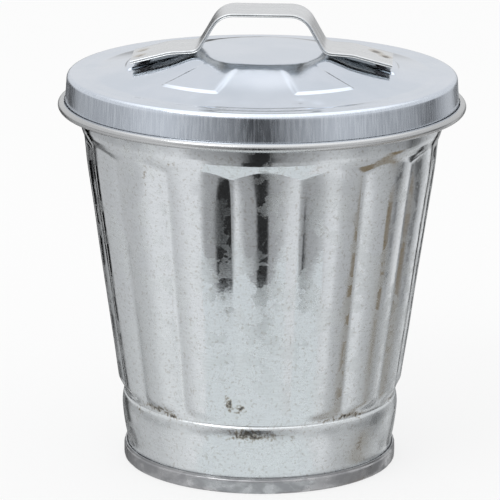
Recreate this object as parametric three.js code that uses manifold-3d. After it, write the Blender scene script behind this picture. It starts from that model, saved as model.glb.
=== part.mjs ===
// Small galvanized trash can with a lift-off lid, in millimetres, +Z up.
// The origin is the centre of the ring that the can stands on, and the lid's handle runs along X.
// Every piece is formed from sheet or wire, as the real one is: the wall is a rolled cone with pressed
// flutes, the bottom is a pan crimped up round the wall's foot, and both free rims are rolled over wire.

import * as THREE from 'three';
import { mergeVertices } from 'three/addons/utils/BufferGeometryUtils.js';
import Module from 'manifold-3d';

const wasm = await Module();
wasm.setup();

// ---------------------------------------------------------------- driving dimensions

const fit = 0.3; // air between pieces that touch

// can wall
const canHeight = 144.9; // floor to the top of the rolled rim
const wallSheet = 0.6;
const footRadius = 49.8; // outside of the wall where the pan grips it
const footDraw = 0.45; // the plain band starts this much inside the foot
const bandFlare = 1.95; // and widens by this up to its top edge
const bandTopHeight = 25; // the edge where the plain band steps in under the flutes
const bandRoll = 1.6; // rounding of that edge
const grooveDepth = 0.9; // from the band's top edge in to the groove under the flutes
const grooveRun = 1; // from that edge up to the foot of the flutes
const coneSpread = 13.6; // radius gained from the foot of the flutes to their top
const fluteTopDrop = 22.7; // top of the rim down to the top of the flutes
const fluteCount = 16;
const fluteDepth = 1.7; // crest above valley
const fluteTurn = 4.1; // degrees from the front to the nearest crest
const fluteFootRun = 5; // length of the slope that ends a flute at its foot
const fluteTopRun = 1.9; // and at its top
const fluteEndRound = 4; // how far the end of a flute curves back at its sides
const collarStep = 2.4; // slope from the flutes out to the plain collar
const collarRun = 4.6; // height of that slope
const seamWidth = 5; // folded side seam, standing in a valley at the back
const seamProud = 0.9;

// rolled rim of the can, over its wire
const rimWireRadius = 1.1;
const rimCurlEnd = -120; // degrees round the wire at which the sheet ends

// bottom pan, crimped round the wall's foot
const hoopHeight = 5.9;
const hoopLip = 1.2; // height of the lip that leans in at the hoop's top
const hoopLean = 0.35;
const panSheet = 0.6;
const panFloorHeight = 3; // top of the floor above the standing ring

// lid
const lidSheet = 0.6;
const lidClearance = 1.2; // between the can's rim and the lid's shoulder
const skirtFlare = 0.6; // the skirt widens by this down to its bead
const shoulderRound = 1.8;
const skirtDepth = 11.6; // flat top down to the middle of the rolled bead
const beadWireRadius = 0.75;
const beadCurlEnd = 475; // degrees round the wire at which the sheet ends
const ringWidth = 10.1; // level ring between the shoulder and the dome
const domeRise = 5.9;
const domeFullness = 2.4; // exponent of the dome's profile, 2 is a parabola
const ribCount = 3; // pressed ribs that run right across the lid and cross at its centre
const ribWidth = 23;
const ribDrop = 11; // a rib's rounded end is this far inside the dome's edge
const ribRise = 1.2;
const ribCorner = 3;

// handle: a strap with both long edges hemmed
const strapWidth = 22;
const strapSheet = 0.65;
const hemWidth = 3.6;
const hemThickness = 1.25;
const barRise = 18.4; // top of the grip above the top of the flanges' ends
const footRise = 4.8; // inner end of a flange above its outer end
const kneeRise = 4.3; // where the flange starts down to its outer end
const flangeDrop = 2.8; // a flange ends this far inside the end of its rib
const flangeDip = 14.2; // length of the flange beyond its knee
const flangeRun = 24.1; // length of the whole flange
const legAngle = 60; // degrees from level
const gripRound = 10;
const footRound = 4;
const kneeRound = 12;
const weldRadius = 2.2;
const weldInset = 3.7; // from a flange's end in to its welds

// facets
const wallSegments = fluteCount * 5;
const roundSegments = 60;
const wireSides = 5;
const curlSteps = 6;
const domeSteps = 4;

// ---------------------------------------------------------------- values that follow

const bandFootRadius = footRadius - footDraw;
const bandTopRadius = bandFootRadius + bandFlare;
const grooveRadius = bandTopRadius - grooveDepth;
const fluteFootHeight = bandTopHeight + grooveRun;
const fluteTopHeight = canHeight - fluteTopDrop;
const fluteTopRadius = grooveRadius + coneSpread; // valley of the flutes, at their top
const collarRadius = fluteTopRadius + collarStep;
const collarHeight = fluteTopHeight + collarRun;
const hoopRadius = footRadius + fit + panSheet;

const lidTop = canHeight + fit + lidSheet;
const beadHeight = lidTop - skirtDepth;
const rimCurlRadius = rimWireRadius + fit + wallSheet / 2;
const beadCurlRadius = beadWireRadius + fit + lidSheet / 2;
const rimRadius = collarRadius + 2 * rimCurlRadius; // outside of the can's rolled rim
const lidShoulderRadius = rimRadius + lidClearance + lidSheet;
const lidSkirtRadius = lidShoulderRadius + skirtFlare;
const domeRadius = lidShoulderRadius - ringWidth;
const ribReach = domeRadius - ribDrop; // from the centre to a rib's rounded end
const flangeReach = ribReach - flangeDrop;
const kneeReach = flangeReach - flangeDip;
const footReach = flangeReach - flangeRun;
const weldReach = flangeReach - weldInset;
const weldSpacing = strapWidth - 2 * (hemWidth + fit + weldRadius);
const rimWireCentre = { r: collarRadius - wallSheet / 2 + rimCurlRadius, z: 0 };
rimWireCentre.z = canHeight - rimCurlRadius - wallSheet / 2;
const beadWireCentre = { r: lidSkirtRadius - lidSheet / 2 + beadCurlRadius, z: beadHeight };

const rad = THREE.MathUtils.degToRad;
const point = (r, z) => new THREE.Vector2(r, z);

function lidSurface(r) {
  const share = Math.min(r / domeRadius, 1);
  return lidTop + domeRise * (1 - share ** domeFullness);
}

// ---------------------------------------------------------------- tools of the sheet-metal trade

function arc(centre, radius, from, to, steps) {
  const points = [];
  for (let i = 0; i <= steps; i++) {
    const a = rad(from + ((to - from) * i) / steps);
    points.push(point(centre.r + radius * Math.cos(a), centre.z + radius * Math.sin(a)));
  }
  return points;
}

// A line of corners, each rounded to its own radius.
function bentLine(corners, radii, steps) {
  const points = [corners[0]];
  for (let i = 1; i < corners.length - 1; i++) {
    const back = corners[i - 1].clone().sub(corners[i]).normalize();
    const ahead = corners[i + 1].clone().sub(corners[i]).normalize();
    const half = Math.acos(THREE.MathUtils.clamp(back.dot(ahead), -1, 1)) / 2;
    const setback = radii[i - 1] / Math.tan(half);
    const start = corners[i].clone().addScaledVector(back, setback);
    const end = corners[i].clone().addScaledVector(ahead, setback);
    const bend = new THREE.QuadraticBezierCurve(start, corners[i], end);
    points.push(...bend.getPoints(steps));
  }
  points.push(corners[corners.length - 1]);
  return points;
}

// The line moved sideways: to its left for a positive distance, seen along its run.
function offsetLine(line, distance) {
  return line.map((here, i) => {
    const before = line[Math.max(i - 1, 0)];
    const after = line[Math.min(i + 1, line.length - 1)];
    const a = (i === 0 ? after.clone().sub(here) : here.clone().sub(before)).normalize();
    const b = (i === line.length - 1 ? here.clone().sub(before) : after.clone().sub(here)).normalize();
    const normal = point(-(a.y + b.y), a.x + b.x).normalize();
    if (here.x === 0) normal.set(0, Math.sign(normal.y));
    const stretch = 1 / Math.max(point(-a.y, a.x).dot(normal), 0.5);
    return here.clone().addScaledVector(normal, distance * stretch);
  });
}

// Closed section of a sheet whose middle follows the line.
function sheetSection(line, thickness) {
  const left = offsetLine(line, thickness / 2);
  const right = offsetLine(line, -thickness / 2);
  return [...left, ...right.reverse()];
}

function signedArea(section) {
  return section.reduce((sum, p, i) => sum + p.cross(section[(i + 1) % section.length]), 0) / 2;
}

// Revolves a closed section about Z. A section that meets the axis starts and ends on it.
function revolve(section, segments) {
  const loop = signedArea(section) > 0 ? [...section] : [...section].reverse();
  const start = loop.findIndex((p, i) => p.x === 0 && loop.at(i - 1).x === 0);
  const open = start < 0 ? [...loop, loop[0]] : [...loop.slice(start), ...loop.slice(0, start)];
  return new THREE.LatheGeometry(open, segments).rotateX(Math.PI / 2).rotateZ(-Math.PI / 2);
}

function toSolid(geometry) {
  const bare = geometry.clone();
  bare.deleteAttribute('normal');
  bare.deleteAttribute('uv');
  const merged = mergeVertices(bare, 1e-5);
  const index = merged.index.array;
  const kept = [];
  for (let i = 0; i < index.length; i += 3) {
    const [a, b, c] = [index[i], index[i + 1], index[i + 2]];
    if (a !== b && b !== c && c !== a) kept.push(a, b, c);
  }
  return new wasm.Manifold(
    new wasm.Mesh({
      numProp: 3,
      vertProperties: new Float32Array(merged.attributes.position.array),
      triVerts: new Uint32Array(kept),
    }),
  );
}

function toGeometry(solid) {
  const mesh = solid.getMesh();
  const geometry = new THREE.BufferGeometry();
  geometry.setAttribute('position', new THREE.BufferAttribute(mesh.vertProperties, 3));
  geometry.setIndex(new THREE.BufferAttribute(mesh.triVerts, 1));
  geometry.computeVertexNormals();
  return geometry;
}

// ---------------------------------------------------------------- can wall

// How far a flute stands out at an angle from its crest (-1 to 1 of half a pitch) and a height.
function fluteBulge(u, z) {
  const back = fluteEndRound * (1 - Math.sqrt(Math.max(1 - u * u, 0)));
  const fromTop = (fluteTopHeight - back - z) / fluteTopRun;
  const fromFoot = (z - fluteFootHeight - back) / fluteFootRun;
  const ease = THREE.MathUtils.smoothstep(Math.min(fromTop, fromFoot), 0, 1);
  return fluteDepth * (1 - u * u) * ease;
}

function wallLine() {
  const mid = wallSheet / 2;
  const coneAt = (z) => {
    const share = (z - fluteFootHeight) / (fluteTopHeight - fluteFootHeight);
    return point(THREE.MathUtils.lerp(grooveRadius, fluteTopRadius, share) - mid, z);
  };
  const fluteRows = [
    fluteFootHeight,
    fluteFootHeight + fluteFootRun,
    fluteFootHeight + fluteFootRun + fluteEndRound,
    fluteTopHeight - fluteTopRun - fluteEndRound,
    fluteTopHeight - fluteTopRun,
    fluteTopHeight,
  ];
  return [
    point(footRadius - mid, panSheet + fit),
    point(bandFootRadius - mid, hoopHeight + panSheet),
    point(bandTopRadius - mid, bandTopHeight - bandRoll),
    point(bandTopRadius - mid - bandRoll * 0.1, bandTopHeight - bandRoll * 0.4),
    point((bandTopRadius + grooveRadius) / 2 - mid, bandTopHeight),
    ...fluteRows.map(coneAt),
    point(collarRadius - mid, collarHeight),
    ...arc(rimWireCentre, rimCurlRadius, 180, rimCurlEnd, curlSteps),
  ];
}

function wallGeometry() {
  const geometry = revolve(sheetSection(wallLine(), wallSheet), wallSegments);
  const position = geometry.attributes.position;
  const halfPitch = Math.PI / fluteCount;
  for (let i = 0; i < position.count; i++) {
    const [x, y, z] = [position.getX(i), position.getY(i), position.getZ(i)];
    const r = Math.hypot(x, y);
    const turn = Math.atan2(y, x) + Math.PI / 2;
    const u = turn / (2 * halfPitch) - Math.round(turn / (2 * halfPitch));
    const scale = 1 + fluteBulge(2 * u, z) / r;
    position.setXY(i, x * scale, y * scale);
  }
  return geometry;
}

// The side seam is the sheet's two edges folded together: a flat rib that follows the wall.
function seamGeometry() {
  const thickness = seamProud + wallSheet / 2;
  const line = wallLine().filter((p) => p.y > hoopHeight && p.y < rimWireCentre.z - rimCurlRadius);
  line[0] = point(line[0].x, hoopHeight + fit + panSheet);
  line.push(point(collarRadius - wallSheet / 2, rimWireCentre.z - 2 * rimCurlRadius - wallSheet));
  const section = sheetSection(offsetLine(line, -thickness / 2), thickness);
  const strip = new THREE.ExtrudeGeometry(new THREE.Shape(section), {
    depth: seamWidth,
    bevelEnabled: false,
  });
  strip.translate(0, 0, -seamWidth / 2).rotateX(Math.PI / 2);
  const valley = (Math.floor(fluteCount / 2) - 0.5) * (360 / fluteCount) - 90;
  return strip.rotateZ(rad(valley));
}

// ---------------------------------------------------------------- wires and bottom pan

function wireGeometry(centre, radius) {
  const section = arc(centre, radius, 0, 360, wireSides).slice(1);
  return revolve(section, roundSegments);
}

function panGeometry() {
  const mid = panSheet / 2;
  const footInside = hoopRadius - panSheet - fit - wallSheet;
  const line = [
    point(0, panFloorHeight - mid),
    point(footInside - fit - mid, panFloorHeight - mid),
    point(footInside - fit - mid, mid),
    point(hoopRadius - mid, mid),
    point(hoopRadius - mid, hoopHeight - hoopLip),
    point(hoopRadius - mid - hoopLean, hoopHeight),
  ];
  return revolve(sheetSection(line, panSheet), roundSegments);
}

// ---------------------------------------------------------------- lid

function domeLine(rise) {
  const points = [];
  for (let i = 0; i <= domeSteps; i++) {
    const r = domeRadius * Math.sqrt(i / domeSteps);
    points.push(point(r, lidSurface(r) + rise));
  }
  return points;
}

function lidLine() {
  const mid = lidSheet / 2;
  const shoulder = bentLine(
    [
      point(domeRadius + 1, lidTop - mid),
      point(lidShoulderRadius - mid, lidTop - mid),
      point(lidSkirtRadius - mid, beadHeight + beadCurlRadius),
    ],
    [shoulderRound],
    2,
  );
  return [
    ...domeLine(-mid),
    ...shoulder,
    ...arc(beadWireCentre, beadCurlRadius, 180, beadCurlEnd, curlSteps),
  ];
}

// One straight rib across the lid, as a tall block with rounded corners.
function ribBlock(inset, turn) {
  const [x, y, c] = [ribReach - inset, ribWidth / 2 - inset, ribCorner - inset];
  const outline = new THREE.Shape()
    .moveTo(-x + c, -y)
    .lineTo(x - c, -y)
    .absarc(x - c, -y + c, c, -Math.PI / 2, 0)
    .lineTo(x, y - c)
    .absarc(x - c, y - c, c, 0, Math.PI / 2)
    .lineTo(-x + c, y)
    .absarc(-x + c, y - c, c, Math.PI / 2, Math.PI)
    .lineTo(-x, -y + c)
    .absarc(-x + c, -y + c, c, Math.PI, Math.PI * 1.5);
  const height = domeRise + 4 * ribRise;
  const block = new THREE.ExtrudeGeometry(outline, { depth: height, bevelEnabled: false, curveSegments: 3 });
  return toSolid(block.translate(0, 0, lidTop - ribRise).rotateZ(turn));
}

function ribStar(inset) {
  let star = ribBlock(inset, 0);
  for (let i = 1; i < ribCount; i++) star = star.add(ribBlock(inset, (Math.PI * i) / ribCount));
  return star;
}

// The space between two levels that both follow the dome.
function domeSpace(low, high) {
  const top = domeLine(high);
  const bottom = domeLine(low).reverse();
  return toSolid(revolve([...top, ...bottom], roundSegments));
}

function lidSolid() {
  const plain = toSolid(revolve(sheetSection(lidLine(), lidSheet), roundSegments));
  const raised = ribStar(0).intersect(domeSpace(-lidSheet / 2, ribRise));
  const hollow = ribStar(lidSheet).intersect(domeSpace(-3 * lidSheet, ribRise - lidSheet));
  return plain.add(raised).subtract(hollow);
}

// ---------------------------------------------------------------- handle

const flangeEndTop = lidSurface(Math.hypot(flangeReach, strapWidth / 2)) + ribRise + fit + hemThickness;

// Half of the strap's upper face, from the middle of the grip to the end of a flange.
function strapHalf() {
  const legRun = (barRise - footRise) / Math.tan(rad(legAngle));
  const corners = [
    point(0, flangeEndTop + barRise),
    point(footReach - legRun, flangeEndTop + barRise),
    point(footReach, flangeEndTop + footRise),
    point(kneeReach, flangeEndTop + kneeRise),
    point(flangeReach, flangeEndTop),
  ];
  return bentLine(corners, [gripRound, footRound, kneeRound], 4);
}

function strapTop() {
  const right = strapHalf();
  const left = right.slice(1).map((p) => point(-p.x, p.y));
  return [...left.reverse(), ...right];
}

// A strip of the strap: thickness below its upper face, between two places across its width.
function strapStrip(thickness, from, to) {
  const top = strapTop();
  const shape = new THREE.Shape([...top, ...offsetLine(top, -thickness).reverse()]);
  const strip = new THREE.ExtrudeGeometry(shape, { depth: to - from, bevelEnabled: false });
  return toSolid(strip.rotateX(Math.PI / 2).translate(0, to, 0));
}

function handleSolid() {
  const half = strapWidth / 2;
  return strapStrip(strapSheet, -half, half)
    .add(strapStrip(hemThickness, -half, -half + hemWidth))
    .add(strapStrip(hemThickness, half - hemWidth, half));
}

// Height of the strap's upper face at a distance from the middle of the grip.
function strapHeight(x) {
  const half = strapHalf();
  const next = half.findIndex((p) => p.x >= x);
  const share = (x - half[next - 1].x) / (half[next].x - half[next - 1].x);
  return THREE.MathUtils.lerp(half[next - 1].y, half[next].y, share);
}

// Weld metal between strap and lid: a short plug that stops just short of both.
function weldGeometry(x, y) {
  const top = strapHeight(weldReach) - strapSheet - fit / 2;
  const base = lidSurface(weldReach);
  const plug = new THREE.CylinderGeometry(weldRadius, weldRadius, top - base, 12);
  const solid = toSolid(plug.rotateX(Math.PI / 2).translate(x, y, (top + base) / 2));
  const strap = strapStrip(strapSheet + fit, -strapWidth, strapWidth);
  const floor = domeSpace(-2 * lidSheet, ribRise + fit);
  return toGeometry(solid.subtract(strap).subtract(floor));
}

// ---------------------------------------------------------------- materials and assembly

const zincWall = new THREE.MeshStandardMaterial({ color: 0xc4cacd, roughness: 0.28, metalness: 1 });
const zincPan = new THREE.MeshStandardMaterial({ color: 0x8f9498, roughness: 0.4, metalness: 1 });
const tinLid = new THREE.MeshStandardMaterial({ color: 0xc9d0d6, roughness: 0.16, metalness: 1 });
const strapTin = new THREE.MeshStandardMaterial({ color: 0xbfc5cb, roughness: 0.3, metalness: 1 });
const wireSteel = new THREE.MeshStandardMaterial({ color: 0x9a9da0, roughness: 0.45, metalness: 1 });
const weldSteel = new THREE.MeshStandardMaterial({ color: 0x7d7468, roughness: 0.55, metalness: 1 });

function piece(name, geometry, material) {
  const mesh = new THREE.Mesh(geometry, material);
  mesh.name = name;
  return mesh;
}

const wall = piece('can_wall', toGeometry(toSolid(wallGeometry()).add(toSolid(seamGeometry()))), zincWall);
wall.rotation.z = rad(fluteTurn);

const can = new THREE.Group();
can.add(wall);
can.add(piece('rim_wire', wireGeometry(rimWireCentre, rimWireRadius), wireSteel));
can.add(piece('bottom_pan', panGeometry(), zincPan));

const lid = new THREE.Group();
lid.add(piece('lid_shell', toGeometry(lidSolid()), tinLid));
lid.add(piece('lid_bead_wire', wireGeometry(beadWireCentre, beadWireRadius), wireSteel));
lid.add(piece('lid_handle', toGeometry(handleSolid()), strapTin));
for (const [side, x] of [['left', -weldReach], ['right', weldReach]]) {
  lid.add(piece(`${side}_front_weld`, weldGeometry(x, -weldSpacing / 2), weldSteel));
  lid.add(piece(`${side}_back_weld`, weldGeometry(x, weldSpacing / 2), weldSteel));
}

const trashCan = new THREE.Group();
trashCan.add(can, lid);

export default trashCan;
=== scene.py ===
# Small galvanized trash can with a lift-off lid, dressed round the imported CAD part.
# Section lines and sizes of the pieces are in millimetres and are turned into metres when a mesh is made. The can
# stands at the origin, its lid's handle runs along X, and the front is at -Y.
import math

import bpy
import numpy as np
from mathutils import Matrix, Vector


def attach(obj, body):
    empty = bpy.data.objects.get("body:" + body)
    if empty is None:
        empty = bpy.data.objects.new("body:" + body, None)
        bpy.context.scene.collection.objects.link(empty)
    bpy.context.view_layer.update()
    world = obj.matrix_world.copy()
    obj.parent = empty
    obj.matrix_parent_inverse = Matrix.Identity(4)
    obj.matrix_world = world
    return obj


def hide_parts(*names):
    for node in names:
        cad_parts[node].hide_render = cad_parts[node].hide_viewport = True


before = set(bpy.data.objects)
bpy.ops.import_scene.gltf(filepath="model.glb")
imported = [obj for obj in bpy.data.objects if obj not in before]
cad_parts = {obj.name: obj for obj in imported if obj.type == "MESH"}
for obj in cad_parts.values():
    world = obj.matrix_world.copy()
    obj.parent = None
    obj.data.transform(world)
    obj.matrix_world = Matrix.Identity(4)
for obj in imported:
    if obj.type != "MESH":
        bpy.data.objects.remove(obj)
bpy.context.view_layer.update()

# ---------------------------------------------------------------------------------------------------- can wall
# The wall is a rolled cone of thin galvanized sheet. Between a plain band at the foot and a plain collar, sixteen
# convex flutes are pressed out of it, which meet in sharp valleys. The top edge is rolled outwards over a wire.

MM = 0.001


def lathe(name, line, steps):
    """Draws a half section point by point, in millimetres (radius, height), and spins it round Z."""
    bpy.ops.object.select_all(action="DESELECT")
    bpy.ops.mesh.primitive_plane_add(size=MM, location=(0, 0, 0))
    piece = bpy.context.object
    piece.name = piece.data.name = name
    bpy.ops.object.mode_set(mode="EDIT")
    bpy.ops.mesh.select_all(action="SELECT")
    bpy.ops.mesh.merge(type="CENTER")
    points = [Vector((0, -r * MM, z * MM)) for r, z in line]
    bpy.ops.transform.translate(value=points[0])
    for here, there in zip(points, points[1:]):
        bpy.ops.mesh.extrude_region_move(TRANSFORM_OT_translate={"value": there - here})
    bpy.ops.mesh.select_all(action="SELECT")
    bpy.ops.mesh.spin(steps=steps, angle=math.tau, center=(0, 0, 0), axis=(0, 0, 1))
    bpy.ops.mesh.select_all(action="SELECT")
    bpy.ops.mesh.remove_doubles(threshold=MM / 500)
    bpy.ops.mesh.normals_make_consistent(inside=False)
    bpy.ops.object.mode_set(mode="OBJECT")
    return piece


def corners(piece):
    """The piece's vertices in millimetres, as columns x, y, z."""
    co = np.empty(len(piece.data.vertices) * 3, np.float32)
    piece.data.vertices.foreach_get("co", co)
    return co.astype(float).reshape(-1, 3) / MM


def move_corners(piece, co):
    piece.data.vertices.foreach_set("co", (co * MM).astype(np.float32).ravel())
    piece.data.update()


def face_out(piece, way):
    """Turns the faces over if most of them look against way, a function of a face's centre."""
    facing = sum(p.normal.dot(Vector(way(p.center))) * p.area for p in piece.data.polygons)
    if facing < 0:
        piece.data.flip_normals()


def thicken(piece, sheet):
    """Gives a surface the thickness of the sheet, in millimetres, half to each side."""
    solid = piece.modifiers.new("sheet", "SOLIDIFY")
    solid.thickness, solid.offset, solid.use_even_offset = sheet * MM, 0, True
    finish_piece(piece, "sheet", 40)


def finish_piece(piece, modifier, angle):
    bpy.ops.object.select_all(action="DESELECT")
    piece.select_set(True)
    bpy.context.view_layer.objects.active = piece
    if modifier:
        bpy.ops.object.modifier_apply(modifier=modifier)
    bpy.ops.object.shade_smooth_by_angle(angle=math.radians(angle))


def eased(t):
    t = np.clip(t, 0, 1)
    return t * t * (3 - 2 * t)


def curl(radius, height, reach, start, end, steps):
    """Points of a rolled edge, round the wire at (radius, height)."""
    turns = np.radians(np.linspace(start, end, steps + 1))
    return [(radius + reach * math.cos(a), height + reach * math.sin(a)) for a in turns]


WALL_SHEET = 0.6
CONE_FOOT, CONE_TOP = 26.0, 122.7
CONE_FOOT_RADIUS, CONE_GAIN = 50.4, 13.6  # the radius grows by the gain from the cone's foot to its top
SLOPE_FOOT, COLLAR_FOOT = 120.5, 127.1
FLUTES, FLUTE_DEPTH, FLUTE_TURN = 16, 1.66, 4.1
FLUTE_END_ROUND, FLUTE_FOOT_RUN, FLUTE_TOP_ROUND = 4.2, 5.0, 0.14
FLUTE_FADE = 0.28  # share of their depth that the flutes lose towards the top
COLUMNS = FLUTES * 24
SEAM_WIDTH, SEAM_PROUD = 5.0, 0.9

foot_band = [
    (49.8, 0.95), (49.75, 4.0), (49.35, 6.2), (49.45, 7.6), (49.75, 9.4), (50.15, 11.4), (50.6, 14.0), (50.95, 16.6),
    (51.2, 19.0), (51.3, 20.6), (51.29, 21.6), (51.22, 22.6), (51.1, 23.5), (50.98, 24.2), (50.88, 24.7),
    (50.74, 24.95), (50.56, 25.1), (50.44, 25.35),
]


def cone_at(height):
    """Radius of the plain cone that the flutes are pressed out of."""
    return CONE_FOOT_RADIUS + CONE_GAIN * (height - CONE_FOOT) / (CONE_TOP - CONE_FOOT)


def slope_at(height):
    """Radius of the slope from the flutes out to the collar."""
    heights = (100.5, SLOPE_FOOT, 122.5, 123.7, 124.9, 126, COLLAR_FOOT)
    return np.interp(height, heights, (52.9, 63.7, 64.75, 65.35, 65.8, 66.15, 66.36))


flute_heights = np.concatenate([np.linspace(25.8, 37, 24), np.linspace(43, 110, 10), np.linspace(114, 120.2, 14)])
cone = [(cone_at(z), z) for z in flute_heights]
slope = [(slope_at(z), z) for z in np.linspace(SLOPE_FOOT, COLLAR_FOOT, 26)]
collar = [(66.4, 127.7), (66.4, 130), (66.4, 134), (66.4, 138), (66.4, 141.2)]
wall_line = [(r - WALL_SHEET / 2, z) for r, z in foot_band + cone + slope + collar]
wall_line += curl(67.8, 142.9, 1.7, 180, -120, 16)

wall = lathe("fluted_wall", wall_line, COLUMNS)
face_out(wall, lambda c: (c.x, c.y, 0))

co = corners(wall)
r, z = np.hypot(co[:, 0], co[:, 1]), co[:, 2]
azimuth = np.degrees(np.arctan2(co[:, 0], -co[:, 1]))  # from the front, towards +X

# The columns of vertices nearest to the side seam are drawn to its two edges.
seam_at = FLUTE_TURN + 7.5 * 360 / FLUTES
beside = (azimuth - seam_at + 180) % 360 - 180
column = np.round(beside / (360 / COLUMNS))
snapped = {0: 0, 1: 1.0, 2: 1.9, 3: 2.4, 4: 2.62, 5: 3.6}
for k, reach in snapped.items():
    for side in (-1, 1):
        at = column == side * k
        azimuth[at] = seam_at + side * np.degrees(reach / r[at])
beside = (azimuth - seam_at + 180) % 360 - 180

# Across a flute, u is 0 at its crest and 1 in the valleys. Its foot is rounded off, and it has no swell on the collar.
u = (azimuth - FLUTE_TURN) / (360 / FLUTES)
u = np.abs(2 * (u - np.round(u)))
back = FLUTE_END_ROUND * (1 - np.clip(1 - u**3, 0, 1) ** (1 / 3))
bulge = FLUTE_DEPTH * np.cos(np.pi / 2 * u) * eased((z - CONE_FOOT - 0.5 * back) / FLUTE_FOOT_RUN)
below_collar = z < COLLAR_FOOT + 0.3
bulge *= (1 - FLUTE_FADE * eased((z - 110) / 13)) * below_collar

# Handling has left the sheet a little uneven, and pressed a few shallow dents into it.
a = np.radians(azimuth)
uneven = 0.035 * np.sin(5 * a + z / 9 + 1.3) + 0.03 * np.sin(13 * a - z / 7 + 0.4) + 0.02 * np.sin(29 * a + z / 4.3)
uneven *= eased((z - 6) / 6) * eased((139 - z) / 8)
dents = [  # azimuth, height, spread across, spread up, depth
    (-4.9, 32.7, 1.6, 1.3, 0.2), (-10.0, 34.5, 1.4, 2.4, 0.25), (38.0, 20.0, 5.0, 4.0, 0.1),
    (-34.0, 15.0, 6.0, 4.0, 0.12), (150.0, 70.0, 9.0, 12.0, 0.25), (-128.0, 52.0, 8.0, 9.0, 0.22),
    (98.0, 96.0, 6.0, 10.0, 0.2),
]
for at, height, across, up, depth in dents:
    sideways = np.radians((azimuth - at + 180) % 360 - 180) * r
    uneven -= depth * np.exp(-((sideways / across) ** 2) - ((z - height) / up) ** 2)

strip = (np.abs(beside) * np.pi / 180 * r < SEAM_WIDTH / 2) & (z > 7) & (z < 139) & (r < 66.3)
bulge = np.where(strip, np.maximum(bulge, SEAM_PROUD), bulge)

# At the top, each flute runs straight into the slope under the collar, and meets it in a small round.
flute = (cone_at(z) - WALL_SHEET / 2 + bulge) / FLUTE_TOP_ROUND
meeting = FLUTE_TOP_ROUND * np.logaddexp(flute, (slope_at(z) - WALL_SHEET / 2) / FLUTE_TOP_ROUND)
out = np.where((z > 113) & below_collar, meeting, r + bulge) + uneven
co[:, 0], co[:, 1] = out * np.sin(a), -out * np.cos(a)
move_corners(wall, co)

# Brown and black stains where the galvanizing ran thin and dirt has stayed in the groove; the ring of them round that
# groove above the foot band is also painted shade in the crease.
stains_and_groove_shade = [  # azimuth, height, spread across, spread up, strength
    (-44.8, 27.6, 7.5, 1.3, 0.8), (-36.0, 25.9, 4.0, 0.8, 0.6), (40.4, 27.0, 5.0, 1.0, 0.8),
    (31.0, 26.2, 4.0, 0.7, 0.5), (-10.0, 34.4, 1.2, 2.6, 0.95), (-4.9, 32.7, 1.5, 1.1, 0.95),
    (-6.5, 31.2, 1.6, 0.7, 0.6), (-2.6, 22.6, 6.0, 1.7, 0.55), (2.0, 21.8, 12.0, 1.5, 0.3),
    (47.0, 26.0, 2.5, 1.4, 0.5), (48.0, 16.0, 1.4, 3.0, 0.35), (-58.0, 24.0, 2.0, 1.4, 0.4),
    (120.0, 27.2, 8.0, 1.2, 0.7), (-150.0, 27.4, 7.0, 1.2, 0.7), (176.0, 26.6, 5.0, 1.0, 0.6),
    (-100.0, 27.0, 5.0, 1.1, 0.6), (-26.5, 124.4, 1.0, 0.8, 0.5), (-37.5, 117.0, 0.7, 4.0, 0.35),
    (75.0, 26.8, 5.0, 1.2, 0.7),
]
stain_and_groove_shade = np.zeros(len(co))
for at, height, across, up, strength in stains_and_groove_shade:
    sideways = np.radians((azimuth - at + 180) % 360 - 180) * r
    stain_and_groove_shade += strength * np.exp(-((sideways / across) ** 2) - ((z - height) / up) ** 2)
wall.data.attributes.new("stain_and_groove_shade", "FLOAT", "POINT").data.foreach_set("value", stain_and_groove_shade.astype(np.float32))
thicken(wall, WALL_SHEET)


def node(tree, kind, sockets=None, **settings):
    """Adds a shader node; sockets maps an input's name or number to a value or to another node's output."""
    made = tree.nodes.new("ShaderNode" + kind)
    for key, value in settings.items():
        setattr(made, key, value)
    for key, value in (sockets or {}).items():
        if isinstance(value, bpy.types.NodeSocket):
            tree.links.new(value, made.inputs[key])
        else:
            made.inputs[key].default_value = value
    return made


def noise(tree, place, stretch, detail=2.0):
    spread = node(tree, "Mapping", {"Vector": place, "Scale": stretch})
    return node(tree, "TexNoise", {"Vector": spread.outputs[0], "Scale": 1.0, "Detail": detail}).outputs[0]


def level(tree, value, low, high, to_low, to_high):
    """Value taken from the range low..high to the range to_low..to_high, and held there."""
    return node(
        tree, "MapRange", {0: value, 1: low, 2: high, 3: to_low, 4: to_high}, interpolation_type="SMOOTHSTEP"
    ).outputs[0]


def sum_of(tree, first, second, operation="ADD"):
    return node(tree, "Math", {0: first, 1: second}, operation=operation).outputs[0]


def tint(tree, share, first, second):
    return node(tree, "Mix", {0: share, 6: first, 7: second}, data_type="RGBA").outputs[2]


def metal(name):
    """A bare metal, with its node tree, its shader and the place of each point on the piece."""
    made = bpy.data.materials.new(name)
    made.use_nodes = True
    tree = made.node_tree
    shader = tree.nodes["Principled BSDF"]
    shader.inputs["Metallic"].default_value = 1
    return made, tree, shader, node(tree, "TexCoord").outputs["Object"]


def spangle(tree, place, scale):
    """Irregular zinc crystals: a random colour for each, with torn edges."""
    torn = node(tree, "TexNoise", {"Vector": place, "Scale": scale * 1.7, "Detail": 3.0}).outputs["Color"]
    torn = node(tree, "VectorMath", {0: torn, 1: (0.5, 0.5, 0.5)}, operation="SUBTRACT").outputs[0]
    torn = node(tree, "VectorMath", {0: torn, "Scale": 1.1 / scale}, operation="SCALE").outputs[0]
    torn = node(tree, "VectorMath", {0: place, 1: torn}).outputs[0]
    return node(tree, "TexVoronoi", {"Vector": torn, "Scale": scale}).outputs["Color"]


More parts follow.
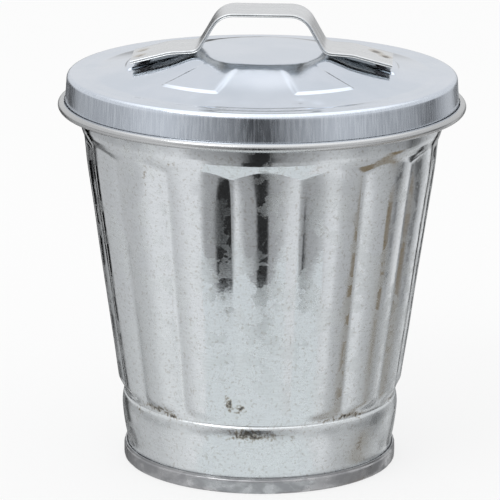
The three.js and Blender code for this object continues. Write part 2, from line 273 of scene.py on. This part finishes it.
def tilted(tree, crystals, lean):
    """The surface normal, leant over a little differently in each crystal."""
    centred = node(tree, "VectorMath", {0: crystals, 1: (0.5, 0.5, 0.5)}, operation="SUBTRACT").outputs[0]
    leant = node(tree, "VectorMath", {0: centred, "Scale": lean}, operation="SCALE").outputs[0]
    normal = node(tree, "NewGeometry").outputs["Normal"]
    leant = node(tree, "VectorMath", {0: normal, 1: leant}).outputs[0]
    return node(tree, "VectorMath", {0: leant}, operation="NORMALIZE").outputs[0]


def relief(tree, height, depth, normal):
    return node(tree, "Bump", {"Height": height, "Distance": depth * MM, "Normal": normal}).outputs[0]


# The zinc has a hazy bloom, more of it low down and in some crystals, rolling marks round the wall, and the stains,
# which also carry the painted shade in the groove above the foot band.
zinc, tree, shader, place = metal("spangled_zinc")
crystals = spangle(tree, place, 210)
pick = node(tree, "SeparateColor", {0: crystals})
up = node(tree, "SeparateXYZ", {0: place}).outputs[2]
clouds = noise(tree, place, (38, 38, 26), 4.0)
fine = noise(tree, place, (1500, 1500, 1500), 2.0)
rolled = noise(tree, place, (260, 260, 1700), 3.0)
bloom = sum_of(tree, level(tree, up, 0.1, 0.045, 0.0, 0.75), level(tree, clouds, 0.46, 0.68, 0.0, 0.45))
bloom = sum_of(tree, bloom, level(tree, pick.outputs[0], 0.56, 0.62, 0.0, 0.7))
rough = sum_of(tree, level(tree, bloom, 0.1, 1.5, 0.09, 0.32), level(tree, fine, 0.3, 0.7, -0.02, 0.03))
bare = tint(tree, level(tree, bloom, 0.2, 1.3, 0.0, 1.0), (0.71, 0.74, 0.77, 1), (0.745, 0.78, 0.8, 1))
bare = tint(tree, level(tree, fine, 0.52, 0.75, 0.0, 0.36), bare, (0.5, 0.52, 0.54, 1))
tree.links.new(rough, shader.inputs["Roughness"])
bare = tint(tree, level(tree, rolled, 0.35, 0.6, 0.3, 0.0), bare, (0.6, 0.625, 0.64, 1))
torn = level(tree, noise(tree, place, (900, 900, 900), 4.0), 0.3, 0.7, -0.4, 0.4)
stain_and_shade_mask = sum_of(tree, node(tree, "Attribute", attribute_name="stain_and_groove_shade").outputs["Fac"], torn)
# Painted shade: this mask turns the groove above the foot band brown and then near black, along with the real stains.
bare = tint(tree, level(tree, stain_and_shade_mask, 0.15, 0.75, 0.0, 0.85), bare, (0.3, 0.26, 0.2, 1))
bare = tint(tree, level(tree, stain_and_shade_mask, 0.6, 1.0, 0.0, 0.9), bare, (0.07, 0.075, 0.08, 1))
tree.links.new(bare, shader.inputs["Base Color"])
lean = tilted(tree, crystals, 0.014)
lean = relief(tree, rolled, 0.004, lean)
tree.links.new(relief(tree, fine, 0.006, lean), shader.inputs["Normal"])
wall.data.materials.clear()
wall.data.materials.append(zinc)

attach(wall, "can")
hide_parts("can_wall")

# ---------------------------------------------------------------------------------------------------- rim wire
# A plain drawn steel wire lies in the rolled rim and keeps it stiff. It is the CAD's own piece: only the wire's ends
# and a hair of its surface could ever be seen between the sheet's turns.

drawn_wire, tree, shader, place = metal("drawn_wire")
along = noise(tree, place, (90, 90, 1400), 3.0)
tree.links.new(
    tint(tree, level(tree, along, 0.3, 0.7, 0.0, 1.0), (0.34, 0.35, 0.36, 1), (0.55, 0.56, 0.57, 1)),
    shader.inputs["Base Color"],
)
tree.links.new(level(tree, along, 0.3, 0.7, 0.3, 0.45), shader.inputs["Roughness"])
for name in ("rim_wire", "lid_bead_wire"):
    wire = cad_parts[name]
    wire.data.materials.clear()
    wire.data.materials.append(drawn_wire)

# -------------------------------------------------------------------------------------------------- bottom pan
# The bottom is a pan of the same sheet. Its edge runs down, out and up again round the wall's foot and is crimped
# there, with a lip that leans in. This hoop is what the can stands on, so its zinc has gone dull and blotchy.

PAN_SHEET = 0.6
pan_line = [(0, 2.7), (12, 2.7), (24, 2.7), (34, 2.7), (41, 2.7), (46.2, 2.7), (47.3, 2.62), (48.0, 2.3), (48.25, 1.8)]
pan_line += [(48.3, 1.1), (48.45, 0.6), (48.9, 0.35), (49.5, 0.31), (49.95, 0.35), (50.25, 0.5), (50.38, 0.85)]
pan_line += [(50.4, 1.4), (50.4, 2.2), (50.4, 3.2), (50.4, 4.2), (50.38, 4.62), (50.27, 4.86), (50.12, 5.0)]
pan_line += [(50.08, 5.2), (50.06, 5.6), (50.02, 5.9)]
pan = lathe("crimped_pan", pan_line, 288)
face_out(pan, lambda c: (c.x, c.y, 0) if math.hypot(c.x, c.y) > 0.0495 else (0, 0, 0))
co = corners(pan)
r, z = np.hypot(co[:, 0], co[:, 1]), co[:, 2]
a = np.arctan2(co[:, 0], -co[:, 1])
hoop = eased((r - 49.6) / 0.6)
waves = 0.05 * np.sin(7 * a + 0.6) + 0.04 * np.sin(23 * a) + 0.03 * np.sin(51 * a + z) - 0.03
nick = 0.28 * np.exp(-(((a - np.radians(12.0)) * 50.4 / 0.45) ** 2)) * eased((2.6 - z) / 1.4)
out = np.where(r > 1, r + hoop * (np.minimum(waves, 0) - nick), r)
co[:, 0], co[:, 1] = out * np.sin(a), -out * np.cos(a)
move_corners(pan, co)
thicken(pan, PAN_SHEET)

dull_zinc, tree, shader, place = metal("dull_zinc")
crystals = spangle(tree, place, 300)
pick = node(tree, "SeparateColor", {0: crystals})
clouds = noise(tree, place, (140, 140, 260), 5.0)
fine = noise(tree, place, (1900, 1900, 1900), 3.0)
worn = sum_of(tree, level(tree, clouds, 0.42, 0.62, 0.0, 0.7), level(tree, pick.outputs[0], 0.3, 0.9, 0.0, 0.3))
bare = tint(tree, worn, (0.34, 0.345, 0.36, 1), (0.52, 0.525, 0.54, 1))
bare = tint(tree, level(tree, fine, 0.58, 0.72, 0.0, 0.4), bare, (0.27, 0.27, 0.28, 1))
tree.links.new(bare, shader.inputs["Base Color"])
tree.links.new(level(tree, worn, 0.0, 1.0, 0.42, 0.24), shader.inputs["Roughness"])
lean = relief(tree, clouds, 0.012, tilted(tree, crystals, 0.02))
tree.links.new(relief(tree, fine, 0.012, lean), shader.inputs["Normal"])
pan.data.materials.clear()
pan.data.materials.append(dull_zinc)

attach(pan, "can")
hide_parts("bottom_pan")

# --------------------------------------------------------------------------------------------------------- lid
# The lid is pressed from bright zinc-coated sheet. A flat hub stands in the middle of a low cone, and six wedge-shaped
# arms come out of the cone's slope. The skirt was drawn down, which left upright lines, and ends in a rolled bead.

LID_SHEET = 0.6
LID_TOP, HUB_TOP = 145.8, 154.1
HUB_RADIUS, CONE_BEND, CONE_RADIUS = 26.0, 45.0, 61.5
CONE_SLOPE, BENT_SLOPE, ARM_SLOPE = 0.274, 0.18, 0.225
ARM_HALF, ARM_END, ARM_SIDE = 13.2, 49.4, 1.5  # degrees, then millimetres

rings = list(np.linspace(0, 22, 12)) + list(np.linspace(23, 30, 15)) + list(np.linspace(31, 48, 18))
rings += list(np.linspace(48.4, 51.2, 12)) + list(np.linspace(52, 60, 9)) + list(np.linspace(60.5, 63, 11))
level_ring = [(63.6, 0), (64.4, 0), (65.2, 0), (65.7, 0), (66.0, -0.04), (66.3, -0.06)]
level_ring += [(67.2, -0.06), (68.4, -0.06), (69.3, -0.06)]
lid_line = [(r, LID_TOP - LID_SHEET / 2 + z) for r, z in [(r, 0) for r in rings] + level_ring]
lid_line += curl(69.8, 143.94, 1.5, 84, 4, 8)
lid_line += [(71.34, 143.2), (71.45, 141.6), (71.58, 139.8), (71.7, 138.0), (71.82, 136.2)]
lid_line += curl(73.22, 134.2, 1.3, 178, 472, 26)
lid = lathe("star_lid", lid_line, 360)
face_out(lid, lambda c: (0, 0, 1) if math.hypot(c.x, c.y) < 0.069 else (0, 0, 0))


def bend(t, width):
    """Nothing for t below 0 and t above it, with a bend about as wide as width in between."""
    return width * np.log1p(np.exp(np.clip(t / width, -40, 40)))


co = corners(lid)
x, y = co[:, 0], co[:, 1]
r = np.hypot(x, y)
pressed = (r < 63.2) & (co[:, 2] > LID_TOP - 2)

# The columns nearest to the sides of the arms are drawn together there, so that the slopes come out clean.
turn = np.degrees(np.arctan2(x, -y))
from_arm = turn % 60 - 30
side = np.abs(from_arm) - ARM_HALF
shift = np.where(np.abs(side) < 5, -side * 0.55 * (1 - (side / 5) ** 2) ** 2, 0)
shift *= eased((r - 24) / 6) * eased((61 - r) / 6)
turn = np.radians(turn + np.where(pressed, shift * np.sign(from_arm), 0))
x, y = r * np.sin(turn), -r * np.cos(turn)
side = (np.abs(np.degrees(turn) % 60 - 30) - ARM_HALF) * math.pi / 180 * r

flat = HUB_TOP - 0.12 * (np.minimum(r, 25) / 25) ** 2
cone = flat - CONE_SLOPE * bend(r - HUB_RADIUS, 1.2)
cone += (CONE_SLOPE - BENT_SLOPE) * bend(r - CONE_BEND, 2.5) + BENT_SLOPE * bend(r - CONE_RADIUS, 0.35)
arm = flat - ARM_SLOPE * bend(r - HUB_RADIUS, 1.2)
soft_side = ARM_SIDE + 1.9 * np.clip((ARM_END - r) / 23, 0, 1)
in_arm = (1 - eased(side / soft_side + 0.5)) * (1 - eased((r - ARM_END + 0.3) / 1.2))
top = cone + np.maximum(arm - cone, 0) * in_arm
marks = [  # x, y, spread, depth: soft dents beyond the arms' ends and the press's centre mark
    (-14.5, -57.0, 3.2, 0.22), (22.0, -56.0, 3.2, 0.3), (30.0, -48.5, 3.2, 0.22), (-4.0, -58.5, 3.0, 0.1),
    (-22.0, -52.0, 3.0, 0.2), (-40.0, -44.0, 4.0, 0.12), (52.0, -24.0, 4.0, 0.12), (-57.0, 5.0, 4.0, 0.12),
    (20.0, 55.0, 4.0, 0.18), (-28.0, 50.0, 5.0, 0.18), (-0.6, -5.5, 0.8, 0.07), (16.0, -53.5, 2.2, 0.22),
]
for mx, my, spread, depth in marks:
    top -= depth * np.exp(-((x - mx) ** 2 + (y - my) ** 2) / spread**2)
top += 0.035 * np.sin(x / 7.5 + 1) * np.sin(y / 9.0) + 0.02 * np.sin(x / 4.1 - y / 5.3)
co[:, 0], co[:, 1] = np.where(pressed, x, co[:, 0]), np.where(pressed, y, co[:, 1])
co[:, 2] = np.where(pressed, top - LID_SHEET / 2, co[:, 2])
move_corners(lid, co)
thicken(lid, LID_SHEET)

bright_sheet, tree, shader, place = metal("bright_lid_sheet")
parts = node(tree, "SeparateXYZ", {0: place})
flat = node(tree, "CombineXYZ", {0: parts.outputs[0], 1: parts.outputs[1]}).outputs[0]
radius = node(tree, "VectorMath", {0: flat}, operation="LENGTH").outputs["Value"]
on_skirt = level(tree, radius, 0.0698, 0.0712, 0.0, 1.0)
on_bead = level(tree, radius, 0.0722, 0.0727, 0.0, 1.0)
drawn = noise(tree, place, (1500, 1500, 16), 3.0)
clouds = noise(tree, place, (48, 48, 48), 4.0)
haze = noise(tree, place, (300, 300, 300), 3.0)
fine = noise(tree, place, (2400, 2400, 2400), 2.0)
bare = tint(tree, level(tree, clouds, 0.35, 0.65, 0.0, 1.0), (0.7, 0.765, 0.86, 1), (0.755, 0.81, 0.9, 1))
lined = tint(tree, level(tree, drawn, 0.38, 0.66, 0.0, 1.0), (0.66, 0.715, 0.8, 1), (0.735, 0.79, 0.87, 1))
bare = tint(tree, on_skirt, bare, lined)
bare = tint(tree, on_bead, bare, (0.56, 0.57, 0.58, 1))
tree.links.new(bare, shader.inputs["Base Color"])
polish = sum_of(tree, level(tree, haze, 0.3, 0.75, 0.07, 0.13), level(tree, clouds, 0.4, 0.7, 0.0, 0.05))
skirt_polish = level(tree, drawn, 0.3, 0.7, 0.2, 0.3)
polish = sum_of(tree, polish, sum_of(tree, sum_of(tree, skirt_polish, polish, "SUBTRACT"), on_skirt, "MULTIPLY"))
tree.links.new(polish, shader.inputs["Roughness"])
normal = node(tree, "NewGeometry").outputs["Normal"]
cut = sum_of(tree, drawn, on_skirt, "MULTIPLY")
lean = relief(tree, cut, 0.004, normal)
tree.links.new(relief(tree, fine, 0.002, lean), shader.inputs["Normal"])
lid.data.materials.clear()
lid.data.materials.append(bright_sheet)

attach(lid, "lid")
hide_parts("lid_shell")

# ------------------------------------------------------------------------------------------------------ handle
# The handle is a strap of sheet with both long edges folded under as a hem. It is bent up to a raised grip on two
# sloping legs, and its two flanges lie along a rib of the lid, where each is held by two spot welds.

STRAP_HALF, STRAP_SHEET, HEM_WIDTH, HEM = 11.0, 0.65, 3.6, 1.25
bends = [(0, 169.43), (15.75, 169.43), (23.6, 155.75), (33.5, 155.1), (47.7, 151.4)]  # upper face, half of it
bend_rounds = (10, 4, 18)


def bent(points, rounds, steps):
    """A line of straight runs with a smooth bend at each inner corner."""
    run = [Vector(points[0])]
    for before, here, after, round_off in zip(points, points[1:], points[2:], rounds):
        before, here, after = Vector(before), Vector(here), Vector(after)
        back, ahead = (before - here).normalized(), (after - here).normalized()
        setback = round_off / math.tan(back.angle(ahead) / 2)
        start, end = here + back * setback, here + ahead * setback
        for k in range(steps + 1):
            s = k / steps
            run.append(start * (1 - s) ** 2 + here * 2 * s * (1 - s) + end * s**2)
    run.append(Vector(points[-1]))
    return np.array(run)


half_run = bent(bends, bend_rounds, 16)
run = np.concatenate([half_run[:0:-1] * (-1, 1), half_run])
travel = np.concatenate([[0], np.cumsum(np.hypot(*np.diff(run, axis=0).T))])
travel -= travel[-1] / 2
strap_length = 2 * travel[-1]

hem_edge = [(10.6, 0), (10.86, -0.06), (10.98, -0.2), (11.0, -0.34), (10.9, -0.5), (10.66, -0.6), (10.6, -0.66)]
hem_edge += [(10.66, -0.72), (10.9, -0.8), (10.97, -0.96), (10.86, -1.14), (10.6, -1.24)]
hem_inside = [(9.6, -1.25), (8.4, -1.25), (7.6, -1.24), (7.42, -1.12), (7.4, -0.8), (7.2, -0.66)]
across_top = [(y, 0) for y in np.linspace(0, 10.0, 18)]
half_section = across_top + hem_edge + hem_inside + [(4.8, -0.65), (2.4, -0.65)]
section = half_section + [(0, -0.65)] + [(-y, z) for y, z in reversed(half_section[1:])]

bpy.ops.object.select_all(action="DESELECT")
bpy.ops.mesh.primitive_circle_add(vertices=len(section), radius=MM, fill_type="NGON", location=(0, 0, 0))
strap = bpy.context.object
strap.name = strap.data.name = "hemmed_strap"
flat_section = np.array([(-strap_length / 2, y, z) for y, z in section])
move_corners(strap, flat_section)
STATIONS = 208
bpy.ops.object.mode_set(mode="EDIT")
bpy.ops.mesh.select_all(action="SELECT")
for k in range(STATIONS):
    bpy.ops.mesh.extrude_region_move(TRANSFORM_OT_translate={"value": (strap_length / STATIONS * MM, 0, 0)})
bpy.ops.mesh.select_all(action="SELECT")
bpy.ops.mesh.normals_make_consistent(inside=False)
bpy.ops.object.mode_set(mode="OBJECT")

co = corners(strap)
s, y, z = co[:, 0].copy(), co[:, 1], co[:, 2]
place_x, place_z = np.interp(s, travel, run[:, 0]), np.interp(s, travel, run[:, 1])
lean_x = np.interp(s + 0.4, travel, run[:, 0]) - np.interp(s - 0.4, travel, run[:, 0])
lean_z = np.interp(s + 0.4, travel, run[:, 1]) - np.interp(s - 0.4, travel, run[:, 1])
size = np.hypot(lean_x, lean_z)
welds = [(-44.5, 5.5, 1.5), (-44.6, -4.6, 1.0), (41.3, 5.4, 1.5), (45.0, 1.0, 1.2)]  # x, y, spread
top_face = z > -0.05
for wx, wy, spread in welds:
    z -= np.where(top_face, 0.42, 0.2) * np.exp(-((place_x - wx) ** 2 + (y - wy) ** 2) / spread**2)
z -= np.where(np.abs(z) < 0.7, 0.12 * (1 - (y / 11) ** 2) * eased((34 - np.abs(place_x)) / 10), 0)
co[:, 0] = place_x - lean_z / size * z
co[:, 2] = place_z + lean_x / size * z
move_corners(strap, co)
finish_piece(strap, None, 50)

brushed_strap, tree, shader, place = metal("brushed_strap")
brushed = noise(tree, place, (90, 1500, 90), 3.0)
clouds = noise(tree, place, (120, 120, 120), 4.0)
fine = noise(tree, place, (2200, 2200, 2200), 2.0)
bare = tint(tree, level(tree, brushed, 0.35, 0.65, 0.0, 1.0), (0.7, 0.72, 0.745, 1), (0.8, 0.815, 0.83, 1))
for wx, wy, spread in welds:  # heat has tinted the sheet brown round each spot weld
    height = float(np.interp(abs(wx), half_run[:, 0], half_run[:, 1]))
    far = node(tree, "VectorMath", {0: place, 1: (wx * MM, wy * MM, height * MM)}, operation="DISTANCE")
    heat = sum_of(tree, far.outputs["Value"], level(tree, clouds, 0.3, 0.7, -0.0007, 0.0007))
    bare = tint(tree, level(tree, heat, 0.0034, 0.0016, 0.0, 0.6), bare, (0.47, 0.41, 0.33, 1))
    bare = tint(tree, level(tree, heat, 0.0016, 0.0007, 0.0, 0.75), bare, (0.16, 0.15, 0.14, 1))
# Painted shade: the faces that look downwards, the strap's underside and the inner side of its hems, get a darker
# colour.
normal = node(tree, "NewGeometry").outputs["Normal"]
below = level(tree, node(tree, "SeparateXYZ", {0: normal}).outputs[2], -0.2, -0.7, 0.0, 1.0)
bare = tint(tree, below, bare, (0.5, 0.5, 0.47, 1))
tree.links.new(bare, shader.inputs["Base Color"])
rough = sum_of(tree, level(tree, brushed, 0.3, 0.7, 0.16, 0.27), level(tree, clouds, 0.4, 0.7, 0.0, 0.05))
tree.links.new(rough, shader.inputs["Roughness"])
normal = node(tree, "NewGeometry").outputs["Normal"]
lean = relief(tree, brushed, 0.008, normal)
tree.links.new(relief(tree, fine, 0.003, lean), shader.inputs["Normal"])
strap.data.materials.clear()
strap.data.materials.append(brushed_strap)

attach(strap, "lid")
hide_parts("lid_handle")

# ------------------------------------------------------------------------------------------------------- welds
# Each spot weld is a button of melted metal between the flange and the rib under it. They are the CAD's own pieces,
# blued and browned by the heat, and show only as dark spots in the gap.

weld_metal, tree, shader, place = metal("weld_metal")
scale = noise(tree, place, (700, 700, 700), 4.0)
burnt = tint(tree, level(tree, scale, 0.35, 0.65, 0.0, 1.0), (0.2, 0.17, 0.14, 1), (0.36, 0.34, 0.36, 1))
tree.links.new(burnt, shader.inputs["Base Color"])
tree.links.new(level(tree, scale, 0.3, 0.7, 0.4, 0.6), shader.inputs["Roughness"])
normal = node(tree, "NewGeometry").outputs["Normal"]
tree.links.new(relief(tree, scale, 0.05, normal), shader.inputs["Normal"])
for name in ("left_front_weld", "left_back_weld", "right_front_weld", "right_back_weld"):
    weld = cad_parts[name]
    weld.data.materials.clear()
    weld.data.materials.append(weld_metal)

# ------------------------------------------------------------------------------------------ table and backdrop
# A plain white table under the can. What the camera sees of it is white with the can's soft shadow. The metal sees a
# second sheet of it that ends a little in front of the can, where the table's edge is.

bpy.ops.object.select_all(action="DESELECT")
bpy.ops.mesh.primitive_plane_add(size=8, location=(0, 0, 0))
floor = bpy.context.object
floor.name = "white_table"
floor.visible_glossy = False
paper = bpy.data.materials.new("white_paper")
paper.use_nodes = True
tree = paper.node_tree
tree.nodes.clear()
matt = node(tree, "BsdfDiffuse", {"Color": (0.86, 0.86, 0.86, 1)})
lit = node(tree, "Emission", {"Color": (1, 1, 1, 1), "Strength": 1.0})
ray = node(tree, "LightPath")
share = sum_of(tree, ray.outputs["Is Camera Ray"], 0.72, "MULTIPLY")
mixed = node(tree, "MixShader", {0: share, 1: matt.outputs[0], 2: lit.outputs[0]})
node(tree, "OutputMaterial", {0: mixed.outputs[0]})
floor.data.materials.append(paper)

TABLE_EDGE, TABLE_SIDE, TABLE_BACK = -0.19, 0.125, -0.05
bpy.ops.object.select_all(action="DESELECT")
bpy.ops.mesh.primitive_plane_add(size=2, location=(0, 0, 0))
mirrored = bpy.context.object
mirrored.name = "mirrored_table"
sheet = np.array([(-1, TABLE_EDGE, 0), (1, TABLE_EDGE, 0), (-1, TABLE_BACK, 0), (1, TABLE_BACK, 0)]) / MM
sheet[:, 0] *= (TABLE_SIDE, TABLE_SIDE, TABLE_SIDE / 4, TABLE_SIDE / 4)
move_corners(mirrored, sheet)
mirrored.visible_camera = mirrored.visible_diffuse = mirrored.visible_shadow = False
table_paper = bpy.data.materials.new("table_paper")
table_paper.use_nodes = True
tree = table_paper.node_tree
tree.nodes["Principled BSDF"].inputs["Base Color"].default_value = (0.95, 0.985, 0.99, 1)
tree.nodes["Principled BSDF"].inputs["Roughness"].default_value = 1.0
tree.nodes["Principled BSDF"].inputs["Specular IOR Level"].default_value = 0.0
mirrored.data.materials.append(table_paper)

# ------------------------------------------------------------------------------------------------------- light
# A soft, white studio. The metal mirrors its walls: bright panels to the left and right, a dark gap at the camera, and
# narrow dark edges beside the panels. To everything else the room is plain white. One lamp adds a soft shadow.

studio = bpy.data.worlds.new("studio")
bpy.context.scene.world = studio
studio.use_nodes = True
tree = studio.node_tree
tree.nodes.clear()
CAMERA_TURN = 2.5  # degrees from the front, towards +X
panels = [  # degrees round from the camera, towards +X, and the brightness there, at the table's edge
    (-180, 0.05), (-158, 0.03), (-155, 0.9), (-147, 0.85), (-143.5, 0.03), (-138, 0.03), (-135, 0.5), (-122, 0.62),
    (-95, 0.68), (-75, 0.85), (-64, 0.93), (-42, 0.92), (-38, 0.68), (-33, 0.45), (-15, 0.39), (-12.5, 0.03),
    (5.8, 0.03), (7.8, 0.41), (22, 0.48), (32, 0.62), (40, 0.84), (57, 0.9), (66, 0.66), (78, 0.57), (93, 0.52),
    (95, (0.25, 0.2, 0.13)), (105, (0.24, 0.19, 0.13)), (108, 0.5), (131, 0.8), (137, 0.03), (142, 0.03), (146, 0.7),
]


def round_the_room(stops):
    """A brightness that changes with the direction round the can."""
    way = node(tree, "SeparateXYZ", {0: node(tree, "TexCoord").outputs["Generated"]})
    front = sum_of(tree, way.outputs[1], -1.0, "MULTIPLY")
    turn = sum_of(tree, way.outputs[0], front, "ARCTAN2")
    turn = node(tree, "MapRange", {0: turn, 1: -math.pi, 2: math.pi, 3: 0.0, 4: 1.0}).outputs[0]
    turn = sum_of(tree, sum_of(tree, turn, 1 - CAMERA_TURN / 360), 1.0, "MODULO")
    ramp = node(tree, "ValToRGB", {0: turn})
    while len(ramp.color_ramp.elements) < len(stops):
        ramp.color_ramp.elements.new(0.5)
    for element, (at, bright) in zip(ramp.color_ramp.elements, stops):
        element.position = at / 360 + 0.5
        element.color = (*np.broadcast_to(bright, 3), 1)
    return ramp.outputs[0], way.outputs[2]


low, height = round_the_room(panels)
walls = [  # the room above the table's edge, dark in front where the camera stands
    (-180, 0.78), (-150, 0.8), (-110, 0.86), (-70, 0.95), (-45, 0.9), (-26, 0.3), (-8, 0.07), (6, 0.07), (14, 0.45),
    (40, 0.95), (70, 0.92), (110, 0.8), (150, 0.78),
]
high, _ = round_the_room(walls)
high = tint(tree, level(tree, height, 0.1, 0.2, 0.0, 1.0), high, (0.79, 0.79, 0.79, 1))
beside_panels = [  # what the leaning wall mirrors: softer panels, and black strips behind the can's two edges
    (-180, 0.0), (-162, 0.0), (-160, 0.6), (-157, 0.6), (-155, 0.0), (-143, 0.0), (-139, 0.6), (-110, 0.6),
    (-85, 0.66), (-72, 0.88), (-56, 0.94), (-44, 0.66), (-28, 0.46), (-14, 0.36), (-7, 0.03), (5, 0.03),
    (12, 0.3), (22, 0.42), (34, 0.6), (44, 0.8), (54, 0.74), (66, 0.56), (84, 0.5), (100, 0.45), (111, 0.15),
    (118, 0.15), (124, 0.5), (140, 0.85), (149, 0.85), (152, 0.02), (158, 0.02), (162, 0.5),
]
middle, _ = round_the_room(beside_panels)
dimmer = level(tree, height, -0.31, -0.2, 1.0, 0.74)
middle = node(tree, "VectorMath", {0: middle, "Scale": dimmer}, operation="SCALE").outputs[0]
low = tint(tree, level(tree, height, -0.43, -0.36, 0.0, 1.0), low, middle)
room = tint(tree, level(tree, height, -0.12, 0.1, 0.0, 1.0), low, high)
ceiling = level(tree, height, 0.55, 0.85, 0.0, 1.0)
room = tint(tree, ceiling, room, (1.4, 1.4, 1.4, 1))
mirrored_room = node(tree, "Background", {"Color": room, "Strength": 1.0})
plain_room = node(tree, "Background", {"Color": (1, 1, 1, 1), "Strength": 1.0})
ray = node(tree, "LightPath")
both = node(tree, "MixShader", {0: ray.outputs["Is Glossy Ray"], 1: plain_room.outputs[0], 2: mirrored_room.outputs[0]})
node(tree, "OutputWorld", {0: both.outputs[0]})

lamp = bpy.data.lights.new("soft_key", "AREA")
lamp.shape, lamp.size, lamp.size_y, lamp.energy = "RECTANGLE", 0.9, 0.6, 4.0
key = bpy.data.objects.new("soft_key", lamp)
key.location = (-0.7, -0.9, 1.3)
key.rotation_euler = Vector((0.7, 0.9, -1.2)).to_track_quat("-Z", "Y").to_euler()
bpy.context.scene.collection.objects.link(key)

# ------------------------------------------------------------------------------------------------------ camera
# A long lens about 1.4 m away. It looks down by about 15 degrees, from a little to the right of the handle's middle.

pitch, roll, yaw = math.radians(14.635), math.radians(0.384), math.radians(-0.172)
ahead = Vector((math.sin(yaw) * math.cos(pitch), math.cos(yaw) * math.cos(pitch), -math.sin(pitch)))
level_right = Vector((math.cos(yaw), -math.sin(yaw), 0))
level_up = level_right.cross(ahead)
right = level_right * math.cos(roll) + level_up * math.sin(roll)
upward = level_up * math.cos(roll) - level_right * math.sin(roll)
stand = Vector((0, -1.35, 0.431))
turned = Matrix.Rotation(math.radians(CAMERA_TURN), 4, "Z")
pose = Matrix((right, upward, -ahead)).transposed().to_4x4()
pose.translation = stand
lens = bpy.data.cameras.new("camera")
lens.lens, lens.sensor_width = 271.1, 36
lens.clip_start, lens.clip_end = 0.05, 50
camera = bpy.data.objects.new("camera", lens)
camera.matrix_world = turned @ pose
bpy.context.scene.collection.objects.link(camera)
bpy.context.scene.camera = camera
bpy.context.scene.view_settings.view_transform = "Standard"
